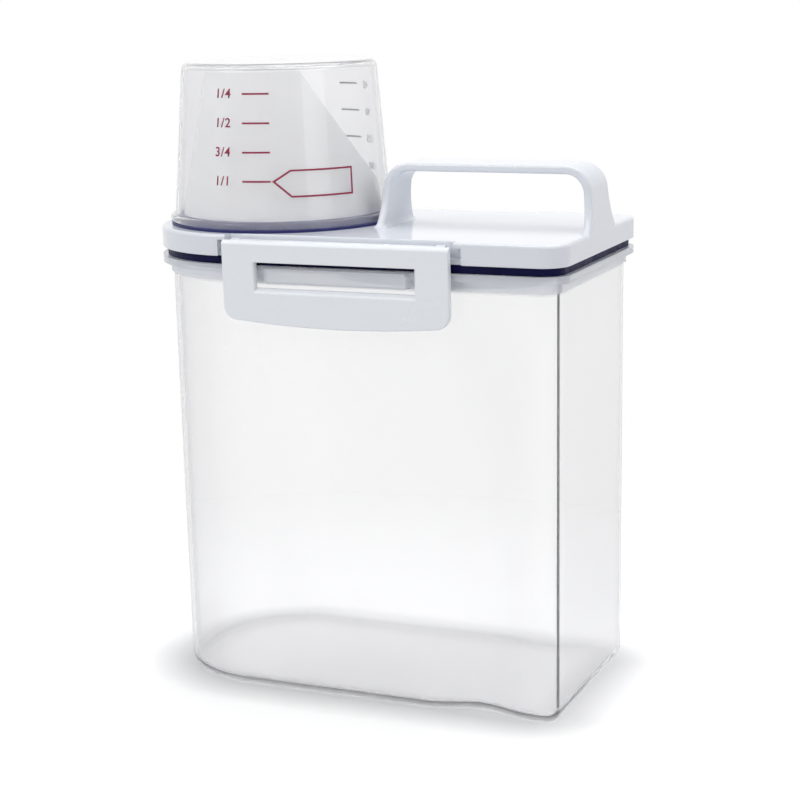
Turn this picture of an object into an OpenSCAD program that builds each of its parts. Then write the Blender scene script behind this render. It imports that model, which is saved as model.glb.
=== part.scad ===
// Laundry detergent dispenser: a clear tub with a clip-on lid, a pour spout and a measuring cup for a cap.
// The origin is at the middle of the base. X runs along the object with the handle at +X,
// Y runs through it with the front latch at -Y, and Z is up.

/* [Container] */
// Length of the tub at its top edge
container_length = 174; // [150:1:240]
// Depth of the tub at its top edge
container_depth = 91.2; // [88:0.4:110]
// Height from the base to the top of the flange
container_height = 172.6; // [140:0.2:260]
// Thickness of the tub's walls
container_wall = 1.8; // [1.2:0.1:2.2]
// Thickness of the tub's floor
floor_thickness = 2.6; // [1.6:0.2:4]
// Radius of the tub's left end, seen from above
left_radius = 41; // [34:0.5:42]
// Radius of the tub's right corners, seen from above
right_radius = 6.5; // [6.4:0.1:14]
// How much narrower each side is at the base than at the top
draft = 0.8; // [0.4:0.1:1.3]
// Radius of the edge round the base
base_radius = 4.5; // [2.4:0.1:5]
// Depth of the grip waist on each side
waist_depth = 5.2; // [0:0.2:7]
// Half the length of the grip waist
waist_reach = 22; // [14:1:24]
// Distance from the middle of the tub to the middle of the grip waist
waist_x = 54; // [40:1:54]

/* [Flange and catch] */
// How far the flange and the lid stand out past the tub's top edge
overhang = 4; // [3.4:0.1:5]
// Thickness of the flange
flange_thickness = 2.8; // [2:0.1:4]
// Height of the collar under the flange
collar_height = 3.7; // [2.4:0.1:5]
// How far the collar stands out past the tub's top edge
collar_step = 1; // [0.4:0.1:2]
// Half the length of each catch lug
lug_reach = 29; // [18:1:31]
// How far each catch lug reaches below the flange
lug_height = 3.4; // [2.4:0.1:3.5]
// How far each catch lug stands out past the flange
lug_step = 2.6; // [2:0.1:2.8]

/* [Lid] */
// Height of the lid's outer skirt
skirt_height = 8.4; // [8:0.2:12]
// Thickness of the lid's skirt and walls
lid_wall = 2.2; // [1.6:0.1:2.4]
// Thickness of the lid's deck
deck_thickness = 2; // [1.6:0.1:2.4]
// Depth of the rim that goes down into the tub, below the gasket
plug_depth = 6; // [4:0.5:10]
// Height of the gap for the gasket between the lid and the flange
gasket_height = 3.2; // [2:0.2:4]
// How far the gasket is set back from the edge of the lid
gasket_inset = 2; // [1:0.2:3]
// Gap between the tub's inner wall and the lid's plug rim
plug_gap = 1.4; // [1:0.1:1.7]

/* [Handle] */
// Left end of the handle, from the middle of the lid
handle_left = 3.5; // [3:0.5:12]
// Height of the handle above the deck
handle_height = 24.8; // [18:0.2:36]
// Thickness of the handle's strap
handle_thickness = 3.2; // [2.6:0.1:4.4]
// Width of the handle along its grip
handle_width = 22; // [18:0.5:26]
// Extra width of each side of the handle at its foot
handle_flare = 5.2; // [0:0.1:6]
// Height of the flared foot of the handle
flare_height = 15; // [6:0.5:18]
// Outer radius of the handle's top corners
handle_radius = 10.5; // [8:0.5:12]
// Radius where the handle's legs meet the deck
foot_radius = 2; // [1:0.5:4]
// Angle that the handle's legs lean in, going up
handle_lean = 5.5; // [0:0.5:10]

/* [Spout] */
// Height of the spout above the deck
spout_height = 60.6; // [50:0.2:61]
// Outer radius at the foot of the spout
spout_foot_radius = 40.4; // [36:0.2:40.6]
// Outer radius at the mouth of the spout
spout_top_radius = 29.9; // [24:0.1:32]
// Thickness of the spout's wall
spout_wall = 1.8; // [1.2:0.1:2.4]
// How far the slanted cut starts past the spout's axis, at the mouth
cut_start = 7; // [-2:0.1:9]
// Angle of the slanted cut below the level
cut_angle = 55.5; // [46:0.5:58]
// Turn of the slanted cut towards the back
cut_turn = 27.7; // [10:0.1:40]

/* [Measuring cup] */
// Height of the cup
cup_height = 62.7; // [60:0.1:70]
// Outer radius at the closed end of the cup
cup_top_radius = 38.8; // [36:0.1:40]
// Slope of the cup's wall, as growth of radius for each millimetre down
cup_slope = 0.0804; // [0.05:0.002:0.085]
// Thickness of the cup's wall
cup_wall = 1.4; // [1.2:0.1:1.6]
// Thickness of the cup's closed end
cup_end = 1.6; // [1.4:0.1:1.8]
// Radius of the edge round the closed end
cup_edge_radius = 3.2; // [2.4:0.1:6]
// How far the bead round the cup's rim stands out
bead_step = 1.7; // [0.8:0.1:1.9]
// Height of the bead round the cup's rim
bead_height = 3; // [2:0.1:4]
// Height of the part of the cup that grips the spout gasket
seat_height = 3.2; // [2.8:0.1:5]
// Running clearance of the cup on the spout gasket
cup_clearance = 0.05; // [0.02:0.01:0.08]
// Thickness of the gasket's foot under the cup's rim
gasket_foot = 1; // [0.6:0.1:1.4]
// Gap between the cup's rim and the gasket's foot
cup_rest_gap = 0.1; // [0.05:0.05:0.3]

/* [Printed scale] */
// Distance between the scale lines
scale_step = 11.05; // [8:0.05:11.5]
// Depth of the first scale line below the closed end
scale_start = 11.1; // [8:0.1:13]
// Thickness of a printed line
line_width = 0.7; // [0.4:0.1:1.2]
// How far the print stands up from the cup
print_height = 0.15; // [0.1:0.05:0.3]

/* [Latches] */
// Middle of the latches, from the middle of the lid
latch_x = 2; // [-2:0.2:2.4]
// Half the length of each latch
latch_reach = 46.5; // [40:0.5:46.5]
// Height of each latch
latch_height = 32.6; // [28:0.2:44]
// Thickness of each latch
latch_thickness = 2.6; // [2:0.1:3]
// Gap between the edge of the lid and the inside of each latch
latch_gap = 1; // [0.8:0.1:1.2]
// Radius of each latch's lower corners
latch_corner_radius = 5.5; // [3:0.5:8]
// How far the lower edge of each latch bulges down at its middle
latch_bulge = 2; // [0.5:0.1:3]
// Half the length of the catch window
window_reach = 33; // [32:0.5:36]
// Height of the catch window
window_height = 9.9; // [9:0.1:11]
// Radius of each latch's hinge barrel
barrel_radius = 1.6; // [1.4:0.05:1.7]
// Radius of the latch's hinge pins
pin_radius = 1.1; // [0.9:0.05:1.15]
// Running clearance of the hinge pins
pin_clearance = 0.05; // [0.02:0.01:0.08]
// Length of each hinge pin
pin_length = 3.4; // [2.6:0.1:4]
// Half the length of the hinge barrel
barrel_reach = 40; // [34:0.5:41]
// How far the hinge recess reaches past each end of the latch
recess_reach = 3.6; // [2:0.1:4]
// Distance from the hinge axis back to the wall of its recess
recess_clearance = 3.2; // [2.8:0.1:3.6]
// How far the top of each latch lies below the deck
latch_drop = 1.6; // [1:0.1:2]

/* [Hidden] */
$fn = 96;

// Small shared distances
past = 1;
sharp = 0.05;
small_gap = 0.4;
lug_ramp = 1;
lug_room = 2.2;
ear_gap = 0.2;
ear_wall = 0.85;

// Heights, from the base up
flange_top = container_height;
flange_bottom = flange_top - flange_thickness;
collar_bottom = flange_bottom - collar_height;
lug_top = flange_top - small_gap;
lug_bottom = flange_bottom - lug_height;
lid_bottom = flange_top + gasket_height;
deck_top = lid_bottom + skirt_height;
deck_bottom = deck_top - deck_thickness;
spout_top = deck_top + spout_height;
cup_rim = deck_top + gasket_foot + cup_rest_gap;
cup_top = cup_rim + cup_height;
seat_top = cup_rim + seat_height;
spout_gasket_top = seat_top - small_gap;

// Half sizes of the tub and the lid, seen from above
tub_reach = container_length / 2;
tub_half_depth = container_depth / 2;
lid_reach = tub_reach + overhang;
lid_half_depth = tub_half_depth + overhang;
lid_left_radius = left_radius + overhang;
lid_right_radius = right_radius + overhang;
plug_set_back = overhang + container_wall + plug_gap;

// The cup's axis leaves the bead a small margin inside the lid's left end
bead_radius = cup_radius(cup_rim) + bead_step;
cup_margin = 1.7;
cup_x = -lid_reach + bead_radius + cup_margin;
seat_radius = cup_radius(seat_top) - cup_wall;
gasket_grip_radius = seat_radius - cup_clearance;

// Latch and hinge places, measured outwards from the middle plane
latch_inside = lid_half_depth + latch_gap;
latch_outside = latch_inside + latch_thickness;
latch_top = deck_top - latch_drop;
latch_bottom = latch_top - latch_height;
latch_edge_radius = 1.8;
ear_radius = pin_radius + pin_clearance + ear_wall;
axis_out = latch_inside - ear_radius - ear_gap;
axis_z = latch_top - barrel_radius;
recess_wall = axis_out - recess_clearance;
window_top = lug_top + lug_room;
window_bottom = window_top - window_height;
window_bevel = 1.1;

// Shape of the tub's corners and walls, as counts of steps
left_steps = 14;
right_steps = 9;
edge_steps = 5;
waist_steps = 12;
fade_steps = 7;

// The waist is full up to fade_start and gone at fade_end
fade_start = 0.68 * container_height;
fade_end = 0.9 * container_height;

// Outer radius of the cup at a height
function cup_radius(z) = cup_top_radius + cup_slope * (cup_top - z);

// Runs smoothly from 0 to 1
function ease(t) = t <= 0 ? 0 : t >= 1 ? 1 : t * t * (3 - 2 * t);

// How much of the waist is left at a height
function waist_share(z) = 1 - ease((z - fade_start) / (fade_end - fade_start));

// How far the side is pressed in by the waist at a place along the tub
function waist_dip(x) =
    abs(x - waist_x) >= waist_reach ? 0
    : waist_depth * (1 + cos(180 * (x - waist_x) / waist_reach)) / 2;

// How far the side is pushed out by the catch lug, from the collar and from the flange
lug_out = overhang - collar_step + lug_step;
flange_share = lug_step / lug_out;
function lug_push(x) = abs(x - latch_x) <= lug_reach ? lug_out : 0;

// Places along the side where its outline has a point
side_places = concat(
    [latch_x - lug_reach - lug_ramp, latch_x - lug_reach, latch_x,
     latch_x + lug_reach, latch_x + lug_reach + lug_ramp],
    [for (i = [0 : waist_steps])
        let (x = waist_x - waist_reach + 2 * waist_reach * i / waist_steps)
        if (abs(x - latch_x - lug_reach) > 2 * lug_ramp) x]);

// The same places in order from left to right
function sorted(list) =
    len(list) < 2 ? list
    : let (first = min(list))
      concat([first], sorted([for (x = list) if (x > first) x]));
side_order = sorted(side_places);

// One level of the tub's skin: [height, step out from the top edge, share of waist, share of lug]
function ring(level) =
    let (z = level[0], out = level[1], waist = level[2], lug = level[3],
         left_x = -tub_reach + left_radius, left_y = tub_half_depth - left_radius,
         right_x = tub_reach - right_radius, right_y = tub_half_depth - right_radius,
         left_r = left_radius + out, right_r = right_radius + out)
    concat(
        [for (i = [0 : left_steps]) let (a = 180 + 90 * i / left_steps)
            [left_x + left_r * cos(a), -left_y + left_r * sin(a), z]],
        [for (x = side_order)
            [x, -(tub_half_depth + out - waist * waist_dip(x) + lug * lug_push(x)), z]],
        [for (i = [0 : right_steps]) let (a = 270 + 90 * i / right_steps)
            [right_x + right_r * cos(a), -right_y + right_r * sin(a), z]],
        [for (i = [0 : right_steps]) let (a = 90 * i / right_steps)
            [right_x + right_r * cos(a), right_y + right_r * sin(a), z]],
        [for (i = [len(side_order) - 1 : -1 : 0]) let (x = side_order[i])
            [x, tub_half_depth + out - waist * waist_dip(x) + lug * lug_push(x), z]],
        [for (i = [0 : left_steps]) let (a = 90 + 90 * i / left_steps)
            [left_x + left_r * cos(a), left_y + left_r * sin(a), z]]);

// Step out of the outer wall at a height, by the draft
function wall_out(z) = -draft * (1 - z / collar_bottom);

// Levels of the outer skin from the base edge up to the collar
inner_radius = base_radius - container_wall;
outer_levels = concat(
    [for (i = [0 : edge_steps]) let (a = 90 * i / edge_steps, z = base_radius * (1 - cos(a)))
        [z, wall_out(z) - base_radius * (1 - sin(a)), 1, 0]],
    [for (i = [0 : fade_steps]) let (z = fade_start + (fade_end - fade_start) * i / fade_steps)
        [z, wall_out(z), waist_share(z), 0]],
    [[collar_bottom, 0, 0, 0]]);

// Levels of the collar, the catch lugs and the flange
flange_levels = [
    [collar_bottom + sharp, collar_step, 0, 0],
    [lug_bottom, collar_step, 0, 0],
    [lug_bottom + sharp, collar_step, 0, 1],
    [flange_bottom, collar_step, 0, 1],
    [flange_bottom + sharp, overhang, 0, flange_share],
    [lug_top - sharp, overhang, 0, flange_share],
    [lug_top, overhang, 0, 0],
    [flange_top, overhang, 0, 0]];

// Levels of the inner skin from the mouth down to the floor
inner_levels = concat(
    [[flange_top, -container_wall, 0, 0]],
    [for (i = [fade_steps : -1 : 0]) let (z = fade_start + (fade_end - fade_start) * i / fade_steps)
        [z, wall_out(z) - container_wall, waist_share(z), 0]],
    [for (i = [edge_steps : -1 : 0])
        let (a = 90 * i / edge_steps, z = floor_thickness + inner_radius * (1 - cos(a)))
        [z, wall_out(z) - container_wall - inner_radius * (1 - sin(a)), 1, 0]]);

tub_levels = concat(outer_levels, flange_levels, inner_levels);

// Skins a stack of rings that all have the same number of points, each the same on the front and the back.
// Both ends are closed by strips that run from a place on the front to the same place on the back.
module skin(rings) {
    n = len(rings[0]);
    last = len(rings) - 1;
    points = [for (r = rings) each r];
    sides = [for (k = [0 : last - 1]) for (i = [0 : n - 1])
        let (j = (i + 1) % n, a = k * n + i, b = k * n + j, c = (k + 1) * n + j, d = (k + 1) * n + i)
        each [[a, d, c], [a, c, b]]];
    strips = [for (i = [0 : n / 2 - 2]) [i, i + 1, n - 2 - i, n - 1 - i]];
    bottom = strips;
    top = [for (s = strips) [for (i = [3 : -1 : 0]) last * n + s[i]]];
    polyhedron(points, concat(bottom, sides, top));
}

// Plan of the lid, larger or smaller by a step
module plan(out) {
    left_x = -lid_reach + lid_left_radius;
    left_y = lid_half_depth - lid_left_radius;
    right_x = lid_reach - lid_right_radius;
    right_y = lid_half_depth - lid_right_radius;
    for (side = [-1, 1]) {
        translate([left_x, side * left_y])
            circle(r = lid_left_radius + out);
        translate([right_x, side * right_y])
            circle(r = lid_right_radius + out);
    }
    translate([left_x, -lid_half_depth - out])
        square([right_x - left_x, 2 * (lid_half_depth + out)]);
    translate([-lid_reach - out, -left_y])
        square([lid_left_radius + out, 2 * left_y]);
    translate([right_x, -right_y])
        square([lid_right_radius + out, 2 * right_y]);
}

// A slab of the lid's plan between two heights
module slab(low, high, out) {
    translate([0, 0, low])
        linear_extrude(high - low)
            plan(out);
}

// A bar of round section along X, centred on x = 0
module bar(radius, reach) {
    rotate([0, 90, 0])
        cylinder(r = radius, h = 2 * reach, center = true, $fn = 48);
}

// A block given by its limits along X, outwards from the middle plane, and up
module front_block(x_reach, out_low, out_high, z_low, z_high) {
    translate([latch_x - x_reach, -out_high, z_low])
        cube([2 * x_reach, out_high - out_low, z_high - z_low]);
}

// Draws its child on the front and, mirrored, on the back
module both_sides() {
    children();
    mirror([0, 1, 0])
        children();
}

// The clear tub, one moulding
module container() {
    color([0.86, 0.9, 0.93, 0.45])
        skin([for (level = tub_levels) ring(level)]);
}

// Deck, skirt, gasket land and plug rim
module lid_shell() {
    land_top = lid_bottom + lid_wall;
    difference() {
        union() {
            slab(lid_bottom, deck_top, 0);
            slab(lid_bottom - plug_depth, lid_bottom + past, -plug_set_back);
        }
        slab(land_top, deck_bottom, -lid_wall);
        slab(lid_bottom - plug_depth - past, land_top + past, -plug_set_back - lid_wall);
    }
}

// The walls that close the lid behind a latch hinge
module recess_walls() {
    front_block(latch_reach + recess_reach + lid_wall, recess_wall - lid_wall, lid_half_depth - lid_wall / 2,
                lid_bottom + lid_wall / 2, deck_top - deck_thickness / 2);
}

// The space cut out of the lid for a latch hinge
module recess() {
    land_top = lid_bottom + lid_wall;
    far = lid_half_depth + past;
    front_block(latch_reach + small_gap, recess_wall, far, land_top, deck_top + past);
    front_block(latch_reach + recess_reach, recess_wall, far, land_top, deck_bottom);
    front_block(latch_reach + recess_reach, lid_half_depth - gasket_inset + ear_gap, far,
                lid_bottom - past, land_top + sharp);
}

// The ears that hold a latch's pins
module ears() {
    ear_length = pin_length + ear_gap;
    for (side = [-1, 1])
        translate([latch_x + side * (barrel_reach + small_gap + ear_length / 2), -axis_out, axis_z])
            difference() {
                union() {
                    bar(ear_radius, ear_length / 2);
                    translate([-ear_length / 2, 0, -ear_radius])
                        cube([ear_length, axis_out - recess_wall + past, ear_radius + small_gap]);
                }
                bar(pin_radius + pin_clearance, ear_length);
            }
}

// How far from the handle's middle a corner's centre lies, for a side that stands at reach on the deck
function corner_out(reach, rise, radius) = reach - (radius + rise * sin(handle_lean)) / cos(handle_lean);

// The point where a round corner meets the leaning side
function side_point(centre, radius) =
    [centre[0] + radius * cos(handle_lean), centre[1] + radius * sin(handle_lean)];

// A polygon from its right half, drawn on both sides of the handle's middle
module mirrored_polygon(half) {
    other_half = [for (i = [len(half) - 1 : -1 : 0]) [-half[i][0], half[i][1]]];
    polygon(concat(half, other_half));
}

// A circle on both sides of the handle's middle
module mirrored_circle(centre, radius) {
    for (side = [-1, 1])
        translate([side * centre[0], centre[1]])
            circle(r = radius);
}

// Side view of the handle's strap, with its middle at x = 0 and the deck at y = 0
module handle_outline() {
    reach = (lid_reach - handle_left) / 2;
    low = -deck_thickness / 2;
    bend = handle_height - handle_radius;
    corner = [corner_out(reach, bend, handle_radius), bend];
    inner_radius = handle_radius - handle_thickness;
    inner_reach = reach - handle_thickness / cos(handle_lean);
    foot = [corner_out(inner_reach, foot_radius, foot_radius), foot_radius];
    difference() {
        union() {
            mirrored_polygon([[reach, low], [reach, 0], side_point(corner, handle_radius),
                              [corner[0], handle_height]]);
            mirrored_circle(corner, handle_radius);
            left_foot_outline(-reach, low);
        }
        mirrored_polygon([[foot[0], 0], side_point(foot, foot_radius), side_point(corner, inner_radius),
                          [corner[0], handle_height - handle_thickness]]);
        mirrored_circle(foot, foot_radius);
        mirrored_circle(corner, inner_radius);
    }
}

// The round corner outside the handle's left foot
module left_foot_outline(x, low) {
    out = foot_radius * (1 - sin(handle_lean)) / cos(handle_lean);
    side_x = x - out + foot_radius * cos(handle_lean);
    side_z = foot_radius * (1 - sin(handle_lean));
    difference() {
        polygon([[x - out, low], [x - out, 0], [side_x, side_z], [side_x + past, side_z], [x + past, low]]);
        translate([x - out, foot_radius])
            circle(r = foot_radius);
    }
}

// End view of the handle: a strap whose foot flares out
module handle_width_outline() {
    steps = 12;
    foot = [for (i = [0 : steps]) let (t = i / steps)
        [handle_width / 2 + handle_flare * pow(1 - t, 2), flare_height * t]];
    mirrored_polygon(concat([[handle_width / 2 + handle_flare, -deck_thickness / 2]], foot,
                            [[handle_width / 2, handle_height + past]]));
}

// The strap handle, moulded with the lid
module handle() {
    wide = handle_width + 2 * handle_flare + 2 * past;
    long = lid_reach - handle_left;
    translate([(lid_reach + handle_left) / 2, 0, deck_top])
        intersection() {
            translate([0, wide / 2, 0])
                rotate([90, 0, 0])
                    linear_extrude(wide)
                        handle_outline();
            rotate([90, 0, 90])
                translate([0, 0, -long])
                    linear_extrude(2 * long)
                        handle_width_outline();
        }
}

// The outside of the spout, cut off on a slant
module spout_body() {
    low = deck_top - deck_thickness / 2;
    size = 4 * spout_foot_radius;
    difference() {
        translate([cup_x, 0, 0])
            rotate_extrude()
                polygon([[0, low], [spout_foot_radius, low], [spout_foot_radius, spout_gasket_top],
                         [spout_top_radius, spout_top], [0, spout_top]]);
        translate([cup_x, 0, spout_top])
            rotate([0, 0, cut_turn])
                translate([cut_start, 0, 0])
                    rotate([0, cut_angle, 0])
                        translate([-size / 4, -size / 2, 0])
                            cube([size, size, size]);
    }
}

// The channel through the spout and the deck
module spout_channel() {
    foot = spout_foot_radius - spout_wall;
    slope = (spout_foot_radius - spout_top_radius) / (spout_top - spout_gasket_top);
    mouth = spout_top_radius - spout_wall - slope * past;
    translate([cup_x, 0, 0])
        rotate_extrude()
            polygon([[0, deck_bottom - past], [foot, deck_bottom - past], [foot, spout_gasket_top],
                     [mouth, spout_top + past], [0, spout_top + past]]);
}

// The white lid with its handle and its spout, one moulding
module lid() {
    color("white")
        difference() {
            union() {
                difference() {
                    union() {
                        lid_shell();
                        both_sides()
                            recess_walls();
                    }
                    both_sides()
                        recess();
                }
                both_sides()
                    ears();
                handle();
                spout_body();
            }
            spout_channel();
        }
}

// The flat seal between the lid and the flange
module lid_gasket() {
    color([0.1, 0.12, 0.35])
        difference() {
            slab(flange_top, lid_bottom, -gasket_inset);
            slab(flange_top - past, lid_bottom + past, -plug_set_back);
        }
}

// The seal round the foot of the spout
module spout_gasket() {
    foot_edge = bead_radius - small_gap;
    foot_top = deck_top + gasket_foot;
    color([0.14, 0.14, 0.45])
        translate([cup_x, 0, 0])
            rotate_extrude()
                polygon([[spout_foot_radius, deck_top], [foot_edge, deck_top], [foot_edge, foot_top],
                         [gasket_grip_radius, foot_top], [gasket_grip_radius, spout_gasket_top],
                         [spout_foot_radius, spout_gasket_top]]);
}

// Half section of the cup's outside
module cup_outside() {
    round_z = cup_top - cup_edge_radius;
    round_x = cup_radius(round_z) - cup_edge_radius;
    polygon([[0, cup_rim], [cup_radius(cup_rim), cup_rim], [cup_radius(round_z), round_z],
             [round_x, cup_top], [0, cup_top]]);
    translate([round_x, round_z])
        circle(r = cup_edge_radius);
    translate([bead_radius - bead_height / 2, cup_rim + bead_height / 2])
        circle(r = bead_height / 2, $fn = 32);
}

// Half section of the cup's inside
module cup_inside() {
    radius = cup_edge_radius - cup_wall;
    inner_top = cup_top - cup_end;
    round_z = inner_top - radius;
    round_x = cup_radius(round_z) - cup_wall - radius;
    polygon([[0, cup_rim - past], [seat_radius, cup_rim - past], [seat_radius, seat_top],
             [cup_radius(round_z) - cup_wall, round_z], [round_x, inner_top], [0, inner_top]]);
    translate([round_x, round_z])
        circle(r = radius);
}

// Keeps the half of a section that lies outside the axis
module outer_half() {
    intersection() {
        children();
        translate([0, cup_rim - 2 * past])
            square([2 * cup_radius(cup_rim), cup_height + 4 * past]);
    }
}

// The clear measuring cup, upside down over the spout
module measuring_cup() {
    gate_radius = 2.5;
    gate_depth = 0.4;
    color([0.9, 0.92, 0.95, 0.4])
        translate([cup_x, 0, 0])
            difference() {
                rotate_extrude()
                    outer_half()
                        difference() {
                            cup_outside();
                            cup_inside();
                        }
                translate([0, 0, cup_top - gate_depth])
                    cylinder(r = gate_radius, h = 2 * gate_depth);
            }
}

// A thin skin on the cup's wall, between two heights
module print_skin(z_low, z_high) {
    rotate_extrude()
        polygon([[cup_radius(z_low), z_low], [cup_radius(z_low) + print_height, z_low],
                 [cup_radius(z_high) + print_height, z_high], [cup_radius(z_high), z_high]]);
}

// A piece of the print skin between two bearings round the cup's axis
module print_patch(from, to, z_low, z_high) {
    far = 2 * cup_radius(cup_rim);
    intersection() {
        print_skin(z_low, z_high);
        linear_extrude(cup_top)
            polygon(concat([[0, 0]],
                           [for (a = [from, (from + to) / 2, to]) [far * cos(a), far * sin(a)]]));
    }
}

// Part of the print skin that lies behind a flat outline drawn facing the front
module print_outline(turn, z_low, z_high) {
    far = 2 * cup_radius(cup_rim);
    intersection() {
        print_skin(z_low, z_high);
        rotate([0, 0, turn + 90])
            rotate([90, 0, 0])
                linear_extrude(far)
                    children();
    }
}

// Height of one of the four scale lines, counted down from 1
function line_z(count) = cup_top - scale_start - (count - 1) * scale_step;

// One scale line between two bearings
module scale_line(count, from, to) {
    print_patch(from, to, line_z(count) - line_width / 2, line_z(count) + line_width / 2);
}

// The outline of a flag that points left at the lowest scale line, a little lower than its tip
module flag_outline() {
    reach = 16.2;
    shoulder = 9.4;
    top = 4.4;
    bottom = -6.2;
    rise = atan(top / (reach - shoulder));
    fall = atan(-bottom / (reach - shoulder));
    tip = [-reach + line_width * (cos(rise) + cos(fall)) / sin(rise + fall),
           line_width * (sin(rise) - sin(fall)) / sin(rise + fall)];
    inner_top = top - line_width;
    inner_bottom = bottom + line_width;
    inner_reach = reach - line_width;
    difference() {
        polygon([[-reach, 0], [-shoulder, top], [reach, top], [reach, bottom], [-shoulder, bottom]]);
        polygon([tip, [-shoulder + line_width * tan(rise / 2), inner_top], [inner_reach, inner_top],
                 [inner_reach, inner_bottom], [-shoulder + line_width * tan(fall / 2), inner_bottom]]);
    }
}

// The red measuring marks on the front of the cup
module cup_scale_front() {
    line_from = -85;
    line_to = -69.8;
    flag_bearing = -46.7;
    flag_room = 8;
    color([0.78, 0.2, 0.3])
        translate([cup_x, 0, 0]) {
            for (count = [1 : 4])
                scale_line(count, line_from, line_to);
            print_outline(flag_bearing, line_z(4) - flag_room, line_z(4) + flag_room)
                translate([0, line_z(4)])
                    flag_outline();
        }
}

// The grey measuring marks on the back of the cup
module cup_scale_back() {
    line_from = 62;
    line_to = 77;
    color([0.45, 0.45, 0.48])
        translate([cup_x, 0, 0])
            for (count = [1 : 4])
                scale_line(count, line_from, line_to);
}

// Front view of a latch: round lower corners and a lower edge that bulges down
module latch_outline() {
    steps = 8;
    r = latch_corner_radius;
    corner_x = latch_reach - r;
    corner_z = latch_bottom + latch_bulge + r;
    corner = [for (i = [0 : steps]) let (a = -90 * i / steps)
        [corner_x + r * cos(a), corner_z + r * sin(a)]];
    belly = [for (i = [1 : steps - 1]) let (t = 1 - 2 * i / steps)
        [corner_x * t, latch_bottom + latch_bulge * t * t]];
    other_corner = [for (i = [steps : -1 : 0]) [-corner[i][0], corner[i][1]]];
    polygon(concat([[latch_reach, latch_top]], corner, belly, other_corner, [[-latch_reach, latch_top]]));
}

// The opening that the catch lug comes through, with a bevelled lower edge
module catch_window() {
    front_block(window_reach, latch_inside - past, latch_outside + past, window_bottom, window_top);
    translate([latch_x - window_reach, -latch_outside, window_bottom])
        rotate([45, 0, 0])
            translate([0, -window_bevel, -window_bevel])
                cube([2 * window_reach, 2 * window_bevel, 2 * window_bevel]);
}

// Rounds the long outer edge at the top of a latch
module latch_edge_cut() {
    reach = latch_reach + past;
    r = latch_edge_radius;
    translate([latch_x, -latch_outside + r, latch_top - r])
        difference() {
            translate([-reach, -r - past, 0])
                cube([2 * reach, r + past, r + past]);
            bar(r, reach + past);
        }
}

// A clip latch with its barrel and pins, one moulding
module latch() {
    shoulder = barrel_radius - latch_edge_radius / 2;
    color([0.88, 0.89, 0.94])
        difference() {
            union() {
                translate([latch_x, -latch_inside, 0])
                    rotate([90, 0, 0])
                        linear_extrude(latch_thickness)
                            latch_outline();
                front_block(barrel_reach, axis_out, latch_inside + latch_thickness / 2,
                            axis_z - shoulder, latch_top);
                translate([latch_x, -axis_out, axis_z]) {
                    bar(barrel_radius, barrel_reach);
                    bar(pin_radius, barrel_reach + pin_length);
                }
            }
            catch_window();
            latch_edge_cut();
        }
}

module front_latch() {
    latch();
}

module rear_latch() {
    mirror([0, 1, 0])
        latch();
}

container();
lid();
lid_gasket();
spout_gasket();
measuring_cup();
cup_scale_front();
cup_scale_back();
front_latch();
rear_latch();
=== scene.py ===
import math

import bpy
from mathutils import Matrix, Vector


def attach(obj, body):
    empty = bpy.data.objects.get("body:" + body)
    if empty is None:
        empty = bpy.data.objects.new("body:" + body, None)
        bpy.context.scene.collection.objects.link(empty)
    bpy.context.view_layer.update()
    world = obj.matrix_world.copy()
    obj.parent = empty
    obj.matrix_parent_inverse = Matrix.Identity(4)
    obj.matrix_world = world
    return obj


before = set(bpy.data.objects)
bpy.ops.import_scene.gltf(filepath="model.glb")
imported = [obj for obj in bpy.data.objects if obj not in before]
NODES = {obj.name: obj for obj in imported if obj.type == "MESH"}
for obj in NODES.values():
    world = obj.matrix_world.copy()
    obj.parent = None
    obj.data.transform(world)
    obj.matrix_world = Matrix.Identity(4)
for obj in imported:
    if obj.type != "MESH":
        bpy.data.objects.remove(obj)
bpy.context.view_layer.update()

# Every length here is in metres, in the CAD frame: X to the handle's end, -Y to the front, Z up.
MM = 0.001

# The cup and its scale lines, from the CAD model
CUP_AXIS = Vector((-43.9 * MM, 0, 0))
CUP_TOP = 248.0 * MM
CUP_TOP_RADIUS = 38.8 * MM
CUP_SLOPE = 0.0804
SCALE_START = 11.1 * MM
SCALE_STEP = 11.05 * MM

# The printed figures: their height as a share of the font's size, their spacing, how much bolder they are
# than the font, how far the ink's middle stands off the cup and how thick it is
FIGURE_SHARE = 0.7
FIGURE_SPACING = 1.12
FIGURE_BOLD = 0.014
INK_LIFT = 0.06 * MM
INK_THICKNESS = 0.05 * MM

# Where they stand round the cup in degrees, their heights, and how far below its line each stands
FRONT_BEARING = -96.6
FRONT_HEIGHT = 3.5 * MM
FRONT_SLANT = 0.05
BACK_BEARING = 51.5
BACK_HEIGHT = 2.9 * MM
BACK_DROP = 0.6 * MM
SIDE_BEARING = 27
SIDE_DROP = 1.0 * MM
SIDE_DROP_STEP = 2.0 * MM

# The places between which one colour turns to another: upwards from the lid to the spout, whose darker grey
# is painted shade under the cup, and from the tub to its flange, whose milky blue-grey is painted shade under
# the lid, and along X from the spout to the lid
SPOUT_FOOT = (0.186, 0.190)
SPOUT_RIGHT = (-0.004, -0.002)
FLANGE_FOOT = (0.1645, 0.1665)

# Clear plastic seen edge-on: how late its edge colour, a painted shade, comes in, where it turns milky, and
# how milky it gets
EDGE_POWER = 1.9
EDGE_RANGE = (0.70, 0.95)
EDGE_HAZE = 0.75

# The outline of the tub's base without its waist, as a box about the origin with its edge moved outwards: the
# box's half sizes and the move, for the round end on the left and for the square one on the right
ROUND_END = ((0.046, 0.0046, 0), 0.0364)
SQUARE_END = ((0.0706, 0.0286, 0), 0.0124)
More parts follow.
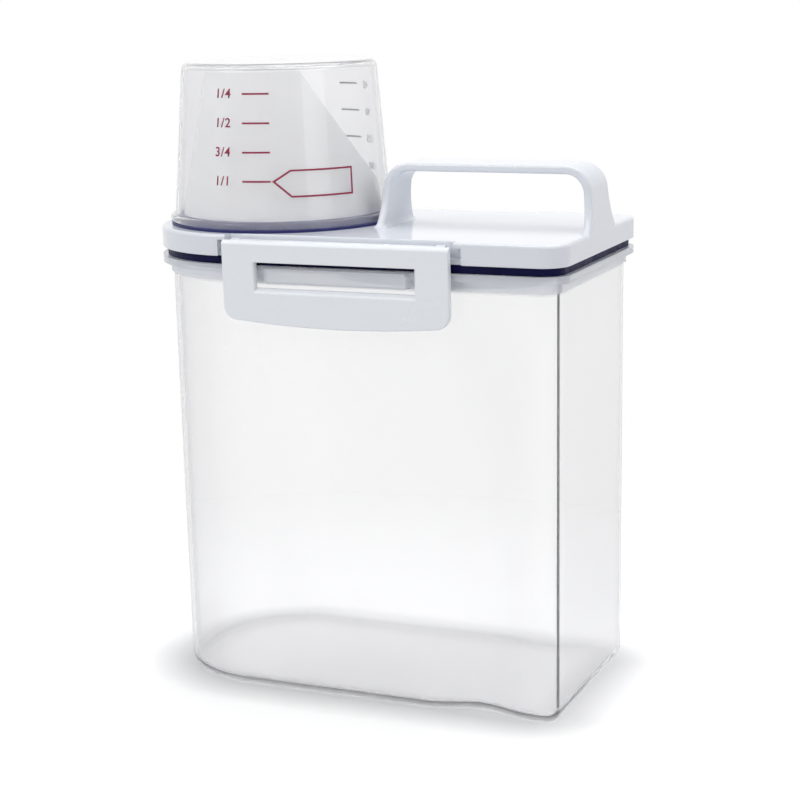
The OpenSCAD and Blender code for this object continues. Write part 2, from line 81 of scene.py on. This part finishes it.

# The floor by its distance from that outline, as two distances and the value at each: the fill light's
# strength outside the outline and under the tub, which drops to nothing at the outline for a painted contact
# shadow, and how far the floor has turned to plain white
FILL_OUTSIDE = (0.003, 0.022, 0.0, 0.36)
FILL_UNDER = (-0.012, -0.002, 0.16, 0.0)
WHITE_AWAY = (0.05, 0.22, 0, 1)
# How far it reaches each way, and how far below the tub's base it lies
FLOOR_REACH = 6
FLOOR_DROP = 0.2 * MM

# An edge that turns by more than this stays sharp, or is rounded where a rule names it
CREASE = math.radians(32)
# Points that lie closer than this are one
JOIN_DISTANCE = 0.004 * MM
BEVEL_SEGMENTS = 3
# Far past the part, in mm, for a box with no sides
FAR = 1000
# Faces that turn by less than this are joined, in shapes with rounded edges and in the others
FLAT_ROUNDED = math.radians(0.4)
FLAT_PLAIN = math.radians(0.1)


def cup_radius(z):
    """The cup's outer radius at a height."""
    return CUP_TOP_RADIUS + CUP_SLOPE * (CUP_TOP - z)


def scale_z(count):
    """The height of a scale line, counted down from 1."""
    return CUP_TOP - SCALE_START - (count - 1) * SCALE_STEP


# Node helpers for materials

def new_material(name):
    """A material with an empty tree but for its output."""
    mat = bpy.data.materials.new(name)
    mat.use_nodes = True
    tree = mat.node_tree
    tree.nodes.clear()
    out = tree.nodes.new("ShaderNodeOutputMaterial")
    return mat, tree, out


def shader(tree, kind, **values):
    """A node with its sockets set by name, where a space is written as _."""
    node = tree.nodes.new(kind)
    for key, value in values.items():
        node.inputs[key.replace("_", " ")].default_value = value
    return node


def join_value(tree, value, socket):
    """Gives a socket a number or another socket's value."""
    if isinstance(value, (int, float)):
        socket.default_value = value
    else:
        tree.links.new(value, socket)


def object_point(tree, scale=(1, 1, 1)):
    """Object coordinates, stretched."""
    coord = tree.nodes.new("ShaderNodeTexCoord")
    mapping = tree.nodes.new("ShaderNodeMapping")
    mapping.inputs["Scale"].default_value = scale
    tree.links.new(coord.outputs["Object"], mapping.inputs["Vector"])
    return mapping.outputs["Vector"]


def split(tree):
    """The place along the object and the height, from object coordinates."""
    parts = tree.nodes.new("ShaderNodeSeparateXYZ")
    tree.links.new(object_point(tree), parts.inputs[0])
    return parts.outputs["X"], parts.outputs["Z"]


def noise(tree, scale, detail=3, rough=0.5, stretch=(1, 1, 1)):
    """A noise value over the object."""
    node = shader(tree, "ShaderNodeTexNoise", Scale=scale, Detail=detail, Roughness=rough)
    tree.links.new(object_point(tree, stretch), node.inputs["Vector"])
    return node.outputs["Fac"]


def maths(tree, operation, a, b):
    """One value worked on by another. The second is a socket or a number."""
    node = tree.nodes.new("ShaderNodeMath")
    node.operation = operation
    tree.links.new(a, node.inputs[0])
    join_value(tree, b, node.inputs[1])
    return node.outputs[0]


def remap(tree, value, low, high, to_low, to_high):
    """A value moved from one range to another, held inside it."""
    node = tree.nodes.new("ShaderNodeMapRange")
    node.inputs["From Min"].default_value = low
    node.inputs["From Max"].default_value = high
    node.inputs["To Min"].default_value = to_low
    node.inputs["To Max"].default_value = to_high
    tree.links.new(value, node.inputs["Value"])
    return node.outputs["Result"]


def mix_value(tree, fac, a, b):
    """Two values mixed by a third. The second is a socket or a number."""
    node = tree.nodes.new("ShaderNodeMix")
    tree.links.new(fac, node.inputs["Factor"])
    tree.links.new(a, node.inputs["A"])
    join_value(tree, b, node.inputs["B"])
    return node.outputs["Result"]


def mix_colour(tree, fac, a, b):
    """Two colours mixed by a value. Either colour is a tuple or a socket."""
    node = tree.nodes.new("ShaderNodeMix")
    node.data_type = "RGBA"
    tree.links.new(fac, node.inputs["Factor"])
    for socket, colour in ((node.inputs[6], a), (node.inputs[7], b)):
        if isinstance(colour, tuple):
            socket.default_value = (*colour, 1)
        else:
            tree.links.new(colour, socket)
    return node.outputs[2]


def mix_shader(tree, fac, a, b):
    """Two shaders mixed by a value."""
    node = tree.nodes.new("ShaderNodeMixShader")
    for value, socket in zip((fac, a, b), node.inputs):
        tree.links.new(value, socket)
    return node.outputs[0]


def bump(tree, height, strength, distance, normal=None):
    """A bump from a height value."""
    node = shader(tree, "ShaderNodeBump", Strength=strength, Distance=distance)
    tree.links.new(height, node.inputs["Height"])
    if normal is not None:
        tree.links.new(normal, node.inputs["Normal"])
    return node.outputs["Normal"]


def uneven_gloss(tree, body, scale, least, most):
    """Lets a surface's roughness wander between two values."""
    tree.links.new(remap(tree, noise(tree, scale), 0.3, 0.7, least, most), body.inputs["Roughness"])


def seen_rays(tree):
    """1 for what is seen straight, in a reflection or through something clear, and 0 for light."""
    path = tree.nodes.new("ShaderNodeLightPath")
    seen = path.outputs["Is Camera Ray"]
    for ray in ("Is Glossy Ray", "Is Transmission Ray"):
        seen = maths(tree, "MAXIMUM", seen, path.outputs[ray])
    return seen


# Materials

def moulded_plastic(name, colour, shade, roughness, grain, spout=None):
    """Opaque moulded plastic with faint flow marks and a fine grain. The spout may be given a darker colour,
    painted shade where it stands under the cup.
    """
    mat, tree, out = new_material(name)
    flow = noise(tree, 22, 4, 0.55, (1, 1, 2.2))
    fleck = noise(tree, 900, 2)
    base = mix_colour(tree, remap(tree, flow, 0.3, 0.7, 0, 1), colour, shade)
    base = mix_colour(tree, remap(tree, fleck, 0.45, 0.7, 0, 0.04), base, (0.55, 0.57, 0.62))
    # Painted shade: the spout, which stands under the cup, turns to a darker grey
    if spout is not None:
        across, height = split(tree)
        above = remap(tree, height, *SPOUT_FOOT, 0, 1)
        beside = remap(tree, across, *SPOUT_RIGHT, 1, 0)
        base = mix_colour(tree, maths(tree, "MULTIPLY", above, beside), base, spout)
    body = shader(tree, "ShaderNodeBsdfPrincipled", IOR=1.48)
    tree.links.new(base, body.inputs["Base Color"])
    uneven_gloss(tree, body, 60, roughness * 0.9, roughness * 1.15)
    wave = bump(tree, noise(tree, 35, 2), 0.03, 0.15 * MM)
    fine = bump(tree, noise(tree, 2600, 2), grain, 0.02 * MM, wave)
    tree.links.new(fine, body.inputs["Normal"])
    tree.links.new(body.outputs[0], out.inputs["Surface"])
    return mat


def clear_plastic(name, face, edge, milk, haze, rim, roughness, through, bend):
    """Clear moulded plastic. It has the colour face, and edge where it is seen edge-on, a darker colour that
    is painted shade along its edges and outlines. It is milky by the share haze, in the colour milk. rim is
    None, or the two heights between which it turns to a flange, the colour there, a milky blue-grey that is
    painted shade under the lid and its seal, and the haze there. Lamps shine through in the colour through.
    bend is its index of refraction."""
    mat, tree, out = new_material(name)
    facing = shader(tree, "ShaderNodeLayerWeight", Blend=0.5).outputs["Facing"]
    # Painted shade: towards its edges, where it is seen edge-on, the plastic darkens to the edge colour
    edge_shade = maths(tree, "POWER", facing, EDGE_POWER)
    flow = remap(tree, noise(tree, 14, 3, 0.5, (1, 1, 0.4)), 0.35, 0.65, 0.0, 1.0)
    tint = mix_colour(tree, flow, face, tuple(c * 0.992 for c in face))
    tint = mix_colour(tree, edge_shade, tint, edge)
    cloud = remap(tree, flow, 0, 1, haze * 0.85, haze * 1.15)
    cloud = mix_value(tree, remap(tree, facing, *EDGE_RANGE, 0, 1), cloud, EDGE_HAZE)
    fog = mix_colour(tree, flow, milk, tuple(c * 0.97 for c in milk))
    # Painted shade: towards the flange, under the lid and its seal, the plastic turns milkier and blue-grey
    if rim is not None:
        low, high, colour, rim_haze = rim
        up = remap(tree, split(tree)[1], low, high, 0, 1)
        fog = mix_colour(tree, up, fog, colour)
        cloud = mix_value(tree, up, cloud, rim_haze)
    body = shader(tree, "ShaderNodeBsdfPrincipled", IOR=bend, Transmission_Weight=1, Coat_Weight=0.35,
                  Coat_Roughness=0.04)
    tree.links.new(tint, body.inputs["Base Color"])
    uneven_gloss(tree, body, 50, roughness * 0.8, roughness * 1.2)
    milky = shader(tree, "ShaderNodeBsdfPrincipled", IOR=1.45, Roughness=0.2)
    tree.links.new(fog, milky.inputs["Base Color"])
    whole = mix_shader(tree, cloud, body.outputs[0], milky.outputs[0])
    clear = shader(tree, "ShaderNodeBsdfTransparent", Color=(*through, 1))
    path = tree.nodes.new("ShaderNodeLightPath")
    both = mix_shader(tree, path.outputs["Is Shadow Ray"], whole, clear.outputs[0])
    tree.links.new(both, out.inputs["Surface"])
    return mat


def rubber(name, colour, shade, roughness):
    """Soft seal rubber with a fine dusty grain."""
    mat, tree, out = new_material(name)
    base = mix_colour(tree, remap(tree, noise(tree, 120, 4), 0.3, 0.7, 0, 1), colour, shade)
    body = shader(tree, "ShaderNodeBsdfPrincipled", IOR=1.22, Sheen_Weight=0.02, Sheen_Roughness=0.4)
    tree.links.new(base, body.inputs["Base Color"])
    uneven_gloss(tree, body, 300, roughness * 0.8, roughness * 1.2)
    fine = bump(tree, noise(tree, 1800), 0.25, 0.04 * MM)
    tree.links.new(fine, body.inputs["Normal"])
    tree.links.new(body.outputs[0], out.inputs["Surface"])
    return mat


def ink(name, colour, shade):
    """Screen-printed ink, a little uneven in its cover."""
    mat, tree, out = new_material(name)
    base = mix_colour(tree, remap(tree, noise(tree, 700), 0.35, 0.7, 0, 1), colour, shade)
    body = shader(tree, "ShaderNodeBsdfPrincipled", IOR=1.45, Roughness=0.45)
    tree.links.new(base, body.inputs["Base Color"])
    fine = bump(tree, noise(tree, 2400, 2), 0.3, 0.02 * MM)
    tree.links.new(fine, body.inputs["Normal"])
    tree.links.new(body.outputs[0], out.inputs["Surface"])
    return mat


# Shape helpers

def shape_group(name):
    """A geometry group, with the socket its mesh comes in by and the one it leaves by."""
    group = bpy.data.node_groups.new(name, "GeometryNodeTree")
    group.interface.new_socket("Geometry", in_out="INPUT", socket_type="NodeSocketGeometry")
    group.interface.new_socket("Geometry", in_out="OUTPUT", socket_type="NodeSocketGeometry")
    start = group.nodes.new("NodeGroupInput")
    end = group.nodes.new("NodeGroupOutput")
    return group, start.outputs[0], end.inputs[0]


def over_crease(group, angle_kind):
    """True for the edges whose angle of this kind is over the crease angle."""
    angle = group.nodes.new("GeometryNodeInputMeshEdgeAngle")
    over = group.nodes.new("FunctionNodeCompare")
    over.operation = "GREATER_THAN"
    group.links.new(angle.outputs[angle_kind], over.inputs["A"])
    over.inputs["B"].default_value = CREASE
    return over.outputs["Result"]


def both_true(group, a, b):
    """True where both are."""
    node = group.nodes.new("FunctionNodeBooleanMath")
    group.links.new(a, node.inputs[0])
    group.links.new(b, node.inputs[1])
    return node.outputs[0]


def box_mask(group, point, low, high):
    """True where a point lies inside a box, whose corners are given in mm."""
    inside = None
    for corner, operation in ((low, "GREATER_THAN"), (high, "LESS_THAN")):
        test = group.nodes.new("FunctionNodeCompare")
        test.data_type = "VECTOR"
        test.mode = "ELEMENT"
        test.operation = operation
        group.links.new(point, test.inputs[4])
        test.inputs[5].default_value = tuple(c * MM for c in corner)
        passed = test.outputs["Result"]
        inside = passed if inside is None else both_true(group, inside, passed)
    return inside


def sharp_edges(group, flow, selection):
    """The mesh with the selected edges marked sharp."""
    sharp = group.nodes.new("GeometryNodeSetShadeSmooth")
    sharp.domain = "EDGE"
    sharp.inputs["Shade Smooth"].default_value = False
    group.links.new(flow, sharp.inputs["Geometry"])
    group.links.new(selection, sharp.inputs["Selection"])
    return sharp.outputs["Geometry"]


def smoothing_group(name, levels=()):
    """Nodes that join a mesh's split edges and smooth all but its sharp ones. The edges that lie between the
    two heights of a level, in mm, stay sharp too, so that a flat floor stays flat."""
    group, start, end = shape_group(name)
    join = group.nodes.new("GeometryNodeMergeByDistance")
    join.inputs["Distance"].default_value = JOIN_DISTANCE
    soft = group.nodes.new("GeometryNodeSetShadeSmooth")
    soft.domain = "FACE"
    group.links.new(start, join.inputs["Geometry"])
    group.links.new(join.outputs["Geometry"], soft.inputs["Geometry"])
    flow = sharp_edges(group, soft.outputs["Geometry"], over_crease(group, "Unsigned Angle"))
    for low, high in levels:
        place = group.nodes.new("GeometryNodeInputPosition")
        level = box_mask(group, place.outputs[0], (-FAR, -FAR, low), (FAR, FAR, high))
        flow = sharp_edges(group, flow, level)
    group.links.new(flow, end)
    return group


def edge_group(name, rules):
    """Nodes that give the outward edges of a shape the weights for a bevel. Each rule is the low and high
    corner of a box in mm and the weight there, and a later rule wins. Y is measured outwards, as its
    distance from the middle."""
    group, flow, end = shape_group(name)
    place = group.nodes.new("GeometryNodeInputPosition")
    parts = group.nodes.new("ShaderNodeSeparateXYZ")
    outwards = group.nodes.new("ShaderNodeMath")
    outwards.operation = "ABSOLUTE"
    point = group.nodes.new("ShaderNodeCombineXYZ")
    group.links.new(place.outputs[0], parts.inputs[0])
    group.links.new(parts.outputs["Y"], outwards.inputs[0])
    group.links.new(parts.outputs["X"], point.inputs["X"])
    group.links.new(outwards.outputs[0], point.inputs["Y"])
    group.links.new(parts.outputs["Z"], point.inputs["Z"])
    fold = over_crease(group, "Signed Angle")
    for low, high, weight in rules:
        store = group.nodes.new("GeometryNodeStoreNamedAttribute")
        store.data_type = "FLOAT"
        store.domain = "EDGE"
        store.inputs["Name"].default_value = "bevel_weight_edge"
        store.inputs["Value"].default_value = weight
        mask = box_mask(group, point.outputs[0], low, high)
        group.links.new(both_true(group, mask, fold), store.inputs["Selection"])
        group.links.new(flow, store.inputs["Geometry"])
        flow = store.outputs["Geometry"]
    group.links.new(flow, end)
    return group


def finish_shape(obj, group, width=0, rules=None):
    """Joins and smooths a node as it is shown, and rounds the edges that the rules name. The width is for a
    weight of 1."""
    join = obj.modifiers.new("Join", "NODES")
    join.node_group = group
    flat = obj.modifiers.new("Flat", "DECIMATE")
    flat.decimate_type = "DISSOLVE"
    flat.angle_limit = FLAT_ROUNDED if width else FLAT_PLAIN
    if width:
        weights = obj.modifiers.new("Weights", "NODES")
        weights.node_group = edge_group(obj.name + "_edges", rules)
        edge = obj.modifiers.new("Edge", "BEVEL")
        edge.width = width
        edge.segments = BEVEL_SEGMENTS
        edge.limit_method = "WEIGHT"
        edge.use_clamp_overlap = False
        edge.miter_outer = "MITER_ARC"
        again = obj.modifiers.new("Smooth", "NODES")
        again.node_group = group
    weight = obj.modifiers.new("Weight", "WEIGHTED_NORMAL")
    weight.keep_sharp = True
    weight.mode = "FACE_AREA"
    weight.weight = 50


def paint(obj, mat):
    """Gives a CAD node or a piece one material."""
    if obj.material_slots:
        for item in obj.material_slots:
            item.material = mat
    else:
        obj.data.materials.append(mat)


def figure(name, words, bearing, z, height, slant=0.0):
    """Printed figures wrapped round the cup, centred on a bearing in degrees and a height."""
    curve = bpy.data.curves.new(name + "_text", "FONT")
    curve.body = words
    curve.size = height / FIGURE_SHARE
    curve.align_x = "CENTER"
    curve.align_y = "CENTER"
    curve.space_character = FIGURE_SPACING
    curve.resolution_u = 3
    curve.offset = FIGURE_BOLD * curve.size
    text = bpy.data.objects.new(name + "_text", curve)
    bpy.context.scene.collection.objects.link(text)
    bpy.context.view_layer.update()
    mesh = bpy.data.meshes.new_from_object(text)
    bpy.data.objects.remove(text)
    obj = bpy.data.objects.new(name, mesh)
    bpy.context.scene.collection.objects.link(obj)
    for vertex in mesh.vertices:
        x, y = vertex.co.x, vertex.co.y
        up = z + y
        radius = cup_radius(up) + INK_LIFT
        turn = math.radians(bearing) + (x + slant * y) / radius
        vertex.co = CUP_AXIS + Vector((radius * math.cos(turn), radius * math.sin(turn), up))
    mesh.update()
    solid = obj.modifiers.new("Ink", "SOLIDIFY")
    solid.thickness = INK_THICKNESS
    solid.offset = 0
    return obj


# The part's own materials

tub_mat = clear_plastic(
    # the edge colour is painted shade where the tub is seen edge-on
    "ClearTub", face=(0.990, 0.990, 0.992), edge=(0.70, 0.70, 0.72), milk=(0.82, 0.82, 0.83), haze=0.05,
    # the flange's milky blue-grey is painted shade under the lid
    rim=(*FLANGE_FOOT, (0.75, 0.78, 0.83), 0.6), roughness=0.06, through=(0.94, 0.94, 0.95), bend=1.15,
)
cup_mat = clear_plastic(
    # the edge colour is painted shade where the cup is seen edge-on
    "ClearCup", face=(0.975, 0.975, 0.978), edge=(0.80, 0.80, 0.82), milk=(0.83, 0.83, 0.84), haze=0.13,
    rim=None, roughness=0.05, through=(0.90, 0.90, 0.91), bend=1.2,
)
lid_mat = moulded_plastic(
    "WhiteLid", (0.79, 0.815, 0.865), (0.78, 0.805, 0.857), roughness=0.10, grain=0.05,
    # the spout's darker grey is painted shade under the cup
    spout=(0.67, 0.672, 0.68),
)
# The latches are coloured paler than the lid: painted light, which makes them lighter than the lid's skirt
# beside them
latch_mat = moulded_plastic(
    "WhiteLatch", (0.89, 0.92, 0.96), (0.882, 0.912, 0.953), roughness=0.24, grain=0.10,
)
navy_mat = rubber("NavySeal", (0.001, 0.0015, 0.035), (0.002, 0.003, 0.05), 0.5)
violet_mat = rubber("VioletSeal", (0.03, 0.033, 0.125), (0.04, 0.043, 0.15), 0.38)
red_mat = ink("RedPrint", (0.26, 0.015, 0.05), (0.36, 0.04, 0.09))
grey_mat = ink("GreyPrint", (0.05, 0.05, 0.06), (0.09, 0.09, 0.10))

# The CAD nodes as they are shown. The rules for rounded edges are boxes in mm and weights.

smooth = smoothing_group("JoinAndSmooth")
# The tub's base and the floor inside it stay flat
smooth_tub = smoothing_group("JoinAndSmoothTub", ((-0.1, 0.05), (2.55, 2.65)))
LID_EDGES = [
    # the skirt's lower edge
    ((-95, -1, 175.7), (95, 60, 175.9), 0.35),
    # the deck's edge, and less of it where the latches hang
    ((-95, -1, 184.1), (95, 60, 184.3), 1.0),
    ((-46, 39, 184.1), (50, 49.4, 184.3), 0.25),
    # the handle
    ((0, -1, 184.3), (95, 60, 210), 0.8),
    # the spout's mouth
    ((-95, -1, 190), (-1, 60, 250), 0.35),
]
# The outer face of a latch below its barrel
LATCH_EDGES = [((-60, 53.15, 140), (60, 53.3, 180.6), 1.0)]
# All of the lid's gasket
GASKET_EDGES = [((-95, -1, 160), (95, 60, 190), 1.0)]
finish_shape(NODES["container"], smooth_tub)
for name in ("measuring_cup", "spout_gasket", "cup_scale_front", "cup_scale_back"):
    finish_shape(NODES[name], smooth)
finish_shape(NODES["lid_gasket"], smooth, 0.4 * MM, GASKET_EDGES)
finish_shape(NODES["lid"], smooth, 1.2 * MM, LID_EDGES)
for name in ("front_latch", "rear_latch"):
    finish_shape(NODES[name], smooth, 0.6 * MM, LATCH_EDGES)

for name, mat in (
    ("container", tub_mat), ("measuring_cup", cup_mat), ("lid", lid_mat), ("lid_gasket", navy_mat),
    ("spout_gasket", violet_mat), ("front_latch", latch_mat), ("rear_latch", latch_mat),
    ("cup_scale_front", red_mat), ("cup_scale_back", grey_mat),
):
    paint(NODES[name], mat)

# The figures beside the scale lines

for count, words in enumerate(("1/4", "1/2", "3/4", "1/1"), 1):
    piece = figure("front_figure_%d" % count, words, FRONT_BEARING, scale_z(count), FRONT_HEIGHT, FRONT_SLANT)
    paint(piece, red_mat)
    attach(piece, "cup")

MEASURES = ("45", "90", "135", "180")
for count, words in enumerate(MEASURES, 1):
    piece = figure("back_figure_%d" % count, words, BACK_BEARING, scale_z(count) - BACK_DROP, BACK_HEIGHT)
    paint(piece, grey_mat)
    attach(piece, "cup")

# The last measure has no second figure on the side
for count, words in enumerate(MEASURES[:3], 1):
    drop = SIDE_DROP + SIDE_DROP_STEP * count
    piece = figure("side_figure_%d" % count, words, SIDE_BEARING, scale_z(count) - drop, BACK_HEIGHT)
    paint(piece, grey_mat)
    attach(piece, "cup")


# Floor, backdrop, light and camera

def box_distance(tree, point, half):
    """How far a point lies from a box about the origin, given its half sizes."""
    steps = (("ABSOLUTE", None), ("SUBTRACT", half), ("MAXIMUM", (0, 0, 0)), ("LENGTH", None))
    for operation, value in steps:
        node = tree.nodes.new("ShaderNodeVectorMath")
        node.operation = operation
        tree.links.new(point, node.inputs[0])
        if value is not None:
            node.inputs[1].default_value = value
        point = node.outputs["Value" if operation == "LENGTH" else "Vector"]
    return point


def base_distance(tree):
    """How far a point of the floor lies from the outline of the tub's base. It is below 0 inside it."""
    point = object_point(tree)
    left, right = (
        maths(tree, "SUBTRACT", box_distance(tree, point, half), move)
        for half, move in (ROUND_END, SQUARE_END)
    )
    side = remap(tree, split(tree)[0], -0.001, 0.001, 0, 1)
    return mix_value(tree, side, left, right)


def add_floor():
    """A pale floor that keeps the object's shadow, and is white to the eye away from it. Near the base it has
    a fill light of its own, which fades towards the base's outline, a painted contact shadow there. The fill
    is seen, straight or in a reflection, but lights nothing."""
    mesh = bpy.data.meshes.new("Floor")
    corners = [(x * FLOOR_REACH, y * FLOOR_REACH, 0) for x, y in ((-1, -1), (1, -1), (1, 1), (-1, 1))]
    mesh.from_pydata(corners, [], [(0, 1, 2, 3)])
    floor = bpy.data.objects.new("Floor", mesh)
    bpy.context.scene.collection.objects.link(floor)
    floor.location.z = -FLOOR_DROP
    mat, tree, out = new_material("FloorWhite")
    apart = base_distance(tree)
    cloth = shader(tree, "ShaderNodeBsdfDiffuse", Color=(0.74, 0.74, 0.74, 1))
    fill = shader(tree, "ShaderNodeEmission", Color=(1, 1, 1, 1))
    # Painted contact shadow: the fill fades to nothing at the base's outline, from outside it and from under
    # the tub
    outside = remap(tree, apart, *FILL_OUTSIDE)
    under = remap(tree, apart, *FILL_UNDER)
    tree.links.new(maths(tree, "MAXIMUM", outside, under), fill.inputs["Strength"])
    near = tree.nodes.new("ShaderNodeAddShader")
    tree.links.new(cloth.outputs[0], near.inputs[0])
    tree.links.new(fill.outputs[0], near.inputs[1])
    white = shader(tree, "ShaderNodeEmission", Color=(1, 1, 1, 1), Strength=1)
    away = remap(tree, apart, *WHITE_AWAY)
    shown = mix_shader(tree, away, near.outputs[0], white.outputs[0])
    whole = mix_shader(tree, seen_rays(tree), cloth.outputs[0], shown)
    tree.links.new(whole, out.inputs["Surface"])
    mesh.materials.append(mat)


def add_world(level):
    """A white studio to the eye, which lights the object at a lower level."""
    world = bpy.data.worlds.new("Studio")
    bpy.context.scene.world = world
    world.use_nodes = True
    tree = world.node_tree
    tree.nodes.clear()
    out = tree.nodes.new("ShaderNodeOutputWorld")
    white = shader(tree, "ShaderNodeBackground", Color=(1, 1, 1, 1), Strength=1)
    soft = shader(tree, "ShaderNodeBackground", Color=(0.97, 0.98, 1, 1), Strength=level)
    both = mix_shader(tree, seen_rays(tree), soft.outputs[0], white.outputs[0])
    tree.links.new(both, out.inputs["Surface"])


def add_lamp(name, place, target, size, power):
    """A white rectangular lamp that looks at a target. The power is in watts."""
    data = bpy.data.lights.new(name, "AREA")
    data.shape = "RECTANGLE"
    data.size, data.size_y = size
    data.energy = power
    lamp = bpy.data.objects.new(name, data)
    bpy.context.scene.collection.objects.link(lamp)
    lamp.location = place
    aim = Vector(target) - Vector(place)
    lamp.rotation_euler = aim.to_track_quat("-Z", "Y").to_euler()


def add_camera():
    """The photo's camera, fitted to the corners of the tub and the lid."""
    yaw, pitch, roll = (math.radians(a) for a in (23.22, 12.28, -1.20))
    forward = Vector((-math.sin(yaw) * math.cos(pitch), math.cos(yaw) * math.cos(pitch), -math.sin(pitch)))
    level = Vector((math.cos(yaw), math.sin(yaw), 0))
    above = level.cross(forward)
    right = level * math.cos(roll) + above * math.sin(roll)
    up = above * math.cos(roll) - level * math.sin(roll)
    data = bpy.data.cameras.new("Camera")
    data.sensor_width = 36
    data.lens = 87.52
    data.clip_start = 0.05
    data.clip_end = 50
    camera = bpy.data.objects.new("Camera", data)
    bpy.context.scene.collection.objects.link(camera)
    place = Vector((308.02, -704.86, 279.35)) * MM
    turn = Matrix((right, up, -forward)).transposed().to_4x4()
    camera.matrix_world = Matrix.Translation(place) @ turn
    bpy.context.scene.camera = camera


add_floor()
add_world(level=0.45)
add_lamp("Key", place=(-0.75, -0.85, 1.15), target=(0, 0, 0.12), size=(0.9, 0.9), power=7.0)
add_lamp("Top", place=(0.15, 0.25, 1.35), target=(0, 0, 0.15), size=(1.0, 1.0), power=8.3)
add_lamp("Fill", place=(1.15, -0.55, 0.65), target=(0, 0, 0.12), size=(0.7, 0.9), power=2.5)
add_camera()

bpy.context.scene.view_settings.view_transform = "Standard"
